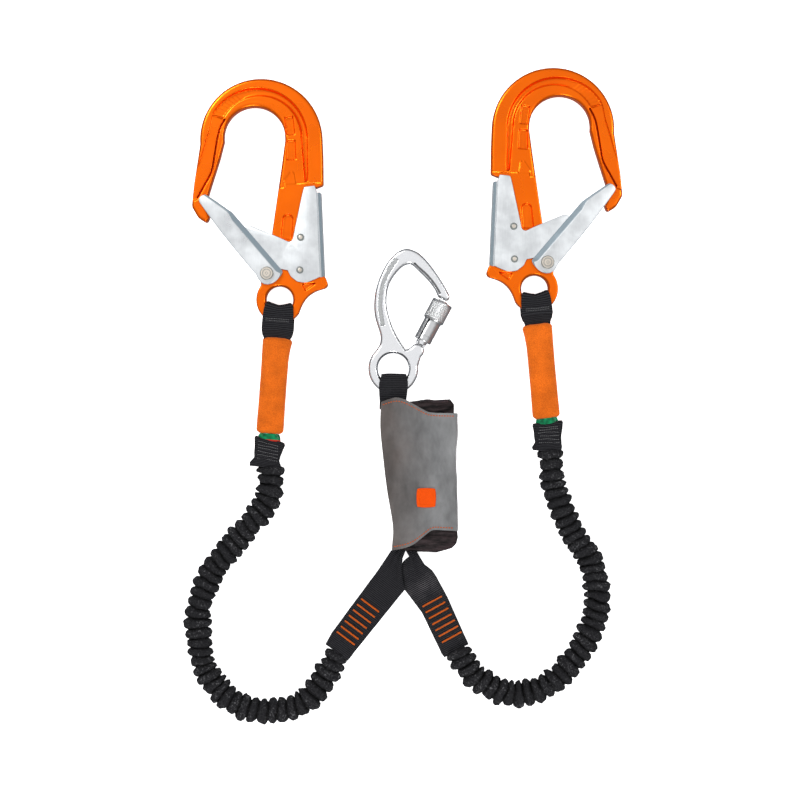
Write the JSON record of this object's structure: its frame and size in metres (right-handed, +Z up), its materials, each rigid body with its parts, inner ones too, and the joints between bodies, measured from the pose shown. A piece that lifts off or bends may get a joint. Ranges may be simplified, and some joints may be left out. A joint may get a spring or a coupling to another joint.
{
  "type": "shock absorbing lanyard",
  "caption": "Twin-leg lanyard laid flat: elastic legs with scaffold hooks, an energy absorber pack and a twist-lock carabiner.",
  "frame": {"origin": "centre of the underside of the absorber pack", "axes": "+Z up from the floor, +Y from the absorber pack towards the carabiner and hooks"},
  "size_m": [0.4361, 0.6561, 0.0307],
  "materials": {
    "orange_paint": "glossy orange coating on forged aluminium",
    "zinc_steel": "satin zinc plated sheet steel",
    "spring_steel": "plain spring wire",
    "polished_alloy": "polished aluminium",
    "black_webbing": "ribbed black polyester webbing",
    "elastic_cloth": "scrunched black woven cover",
    "sleeve_cloth": "orange napped fabric",
    "tag_green": "glossy green film",
    "orange_thread": "orange thread",
    "grey_cloth": "grey plain weave",
    "dark_cloth": "dark brown-black cloth"
  },
  "bodies": {
    "absorber": {"cover_back": "grey_cloth", "absorber_pouch": "dark_cloth", "tear_webbing": "black_webbing", "closure_loop_strip": "dark_cloth", "absorber_end_loop": "black_webbing"},
    "cover_flap": {"cover_front": "grey_cloth", "closure_hook_strip": "dark_cloth", "cover_patch": "orange_thread"},
    "top_strap": {"top_strap": "black_webbing"},
    "carabiner": {"carabiner_body": "polished_alloy", "carabiner_gate_pin": "polished_alloy"},
    "carabiner_gate": {"carabiner_gate": "polished_alloy", "carabiner_push_pin": "polished_alloy", "carabiner_gate_spring": "spring_steel", "lock_sleeve_spring": "spring_steel"},
    "sleeve_guide": {"sleeve_guide_ring": "polished_alloy"},
    "lock_sleeve": {"lock_sleeve": "polished_alloy"},
    "left_tail": {"left_tail": "black_webbing", "left_bar_tacks": "orange_thread"},
    "left_lower_leg": {"left_elastic_cover_lower": "elastic_cloth", "left_load_webbing_lower": "black_webbing"},
    "left_upper_leg": {"left_elastic_cover_upper": "elastic_cloth", "left_load_webbing_upper": "black_webbing"},
    "left_grip": {"left_splice": "black_webbing", "left_inspection_tag": "tag_green", "left_grip_sleeve": "sleeve_cloth", "left_eye_webbing": "black_webbing"},
    "left_hook": {"left_hook_body": "orange_paint", "left_gate_rivet": "zinc_steel", "left_lever_rivet": "zinc_steel", "left_lever_stop_rivet": "zinc_steel", "left_gate_spring": "spring_steel", "left_lever_spring": "spring_steel"},
    "left_gate": {"left_hook_gate": "zinc_steel"},
    "left_lever": {"left_safety_lever": "zinc_steel"},
    "right_tail": {"right_tail": "black_webbing", "right_bar_tacks": "orange_thread"},
    "right_lower_leg": {"right_elastic_cover_lower": "elastic_cloth", "right_load_webbing_lower": "black_webbing"},
    "right_upper_leg": {"right_elastic_cover_upper": "elastic_cloth", "right_load_webbing_upper": "black_webbing"},
    "right_grip": {"right_splice": "black_webbing", "right_inspection_tag": "tag_green", "right_grip_sleeve": "sleeve_cloth", "right_eye_webbing": "black_webbing"},
    "right_hook": {"right_hook_body": "orange_paint", "right_gate_rivet": "zinc_steel", "right_lever_rivet": "zinc_steel", "right_lever_stop_rivet": "zinc_steel", "right_gate_spring": "spring_steel", "right_lever_spring": "spring_steel"},
    "right_gate": {"right_hook_gate": "zinc_steel"},
    "right_lever": {"right_safety_lever": "zinc_steel"}
  },
  "joints": [
    {"name": "cover_flap_open", "type": "hinge", "parent": "absorber", "child": "cover_flap", "pos_m": [0.0336, 0, 0.0286], "axis": [0, 1, 0], "range_deg": [0, 120]},
    {"name": "strap_fold", "type": "hinge", "parent": "absorber", "child": "top_strap", "pos_m": [-0.0297, 0.08, 0.0245], "axis": [1, 0, 0], "range_deg": [0, 75]},
    {"name": "carabiner_swing", "type": "hinge", "parent": "top_strap", "child": "carabiner", "pos_m": [-0.0297, 0.1063, 0.015], "axis": [0, 0, 1], "range_deg": [-10, 25]},
    {"name": "carabiner_gate_open", "type": "hinge", "parent": "carabiner", "child": "carabiner_gate", "pos_m": [-0.006, 0.124, 0.015], "axis": [0, 0, 1], "range_deg": [0, 26], "stiffness_Nm_per_rad": 0.05},
    {"name": "lock_sleeve_slide", "type": "slide", "parent": "carabiner_gate", "child": "sleeve_guide", "axis": [-0.4695, -0.8829, 0], "range_m": [0, 0.003], "stiffness_N_per_m": 200},
    {"name": "lock_sleeve_twist", "type": "hinge", "parent": "sleeve_guide", "child": "lock_sleeve", "pos_m": [0.01513, 0.16373, 0.015], "axis": [0.4695, 0.8829, 0], "range_deg": [0, 75]},
    {"name": "left_tail_swing", "type": "hinge", "parent": "absorber", "child": "left_tail", "pos_m": [-0.018, -0.087, 0.015], "axis": [0, 0, 1], "range_deg": [0, 20]},
    {"name": "left_leg_bend", "type": "hinge", "parent": "left_tail", "child": "left_lower_leg", "pos_m": [-0.085, -0.177, 0.015], "axis": [0, 0, 1], "range_deg": [0, 20]},
    {"name": "left_leg_stretch", "type": "slide", "parent": "left_lower_leg", "child": "left_upper_leg", "axis": [0, 1, 0], "range_m": [0, 0.12], "stiffness_N_per_m": 150},
    {"name": "left_grip_lift", "type": "hinge", "parent": "left_upper_leg", "child": "left_grip", "pos_m": [-0.156, 0.007, 0.02], "axis": [0.997, -0.0772, 0], "range_deg": [0, 60]},
    {"name": "left_hook_swing", "type": "hinge", "parent": "left_grip", "child": "left_hook", "pos_m": [-0.143, 0.175, 0.015], "axis": [0, 0, 1], "range_deg": [-15, 35]},
    {"name": "left_gate_open", "type": "hinge", "parent": "left_hook", "child": "left_gate", "pos_m": [-0.15544, 0.20088, 0.015], "axis": [0, 0, -1], "range_deg": [0, 35], "stiffness_Nm_per_rad": 0.08},
    {"name": "left_lever_squeeze", "type": "hinge", "parent": "left_hook", "child": "left_lever", "pos_m": [-0.12266, 0.20442, 0.015], "axis": [0, 0, 1], "range_deg": [0, 6], "stiffness_Nm_per_rad": 0.5},
    {"name": "right_tail_swing", "type": "hinge", "parent": "absorber", "child": "right_tail", "pos_m": [-0.014, -0.087, 0.015], "axis": [0, 0, -1], "range_deg": [0, 20]},
    {"name": "right_leg_bend", "type": "hinge", "parent": "right_tail", "child": "right_lower_leg", "pos_m": [0.034, -0.175, 0.015], "axis": [0, 0, -1], "range_deg": [0, 20]},
    {"name": "right_leg_stretch", "type": "slide", "parent": "right_lower_leg", "child": "right_upper_leg", "axis": [0, 1, 0], "range_m": [0, 0.12], "stiffness_N_per_m": 150},
    {"name": "right_grip_lift", "type": "hinge", "parent": "right_upper_leg", "child": "right_grip", "pos_m": [0.1265, 0.024, 0.02], "axis": [0.9956, 0.0934, 0], "range_deg": [0, 60]},
    {"name": "right_hook_swing", "type": "hinge", "parent": "right_grip", "child": "right_hook", "pos_m": [0.1113, 0.186, 0.015], "axis": [0, 0, -1], "range_deg": [-15, 35]},
    {"name": "right_gate_open", "type": "hinge", "parent": "right_hook", "child": "right_gate", "pos_m": [0.12374, 0.21188, 0.015], "axis": [0, 0, 1], "range_deg": [0, 35], "stiffness_Nm_per_rad": 0.08},
    {"name": "right_lever_squeeze", "type": "hinge", "parent": "right_hook", "child": "right_lever", "pos_m": [0.09096, 0.21541, 0.015], "axis": [0, 0, -1], "range_deg": [0, 6], "stiffness_Nm_per_rad": 0.5}
  ]
}
